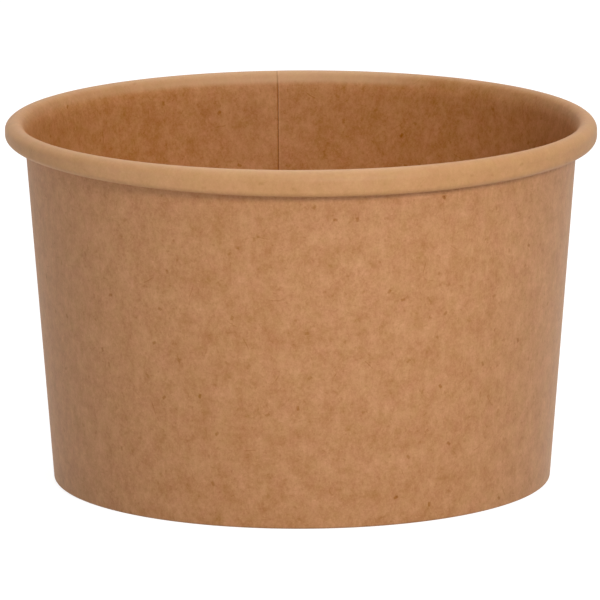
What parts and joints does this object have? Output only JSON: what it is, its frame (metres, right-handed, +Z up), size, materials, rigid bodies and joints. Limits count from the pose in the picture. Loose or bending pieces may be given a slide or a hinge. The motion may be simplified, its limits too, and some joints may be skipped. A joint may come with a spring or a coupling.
{
  "type": "paper ice cream tub",
  "caption": "Tapered round paper tub with a rolled rim, a lapped seam at the back and a base disc sealed into its folded foot, for ice cream and other cold food.",
  "frame": {"origin": "centre of the foot, on the surface that the tub stands on", "axes": "+Z up along the tub's axis, -Y towards the front, +Y towards the lapped seam at the back"},
  "size_m": [0.096, 0.096, 0.059],
  "materials": {
    "kraft_board": "matt brown kraft, thinly coated",
    "base_board": "matt brown kraft, thinly coated"
  },
  "bodies": {
    "root": {"side_wall": "kraft_board", "base_disc": "base_board"}
  },
  "joints": []
}
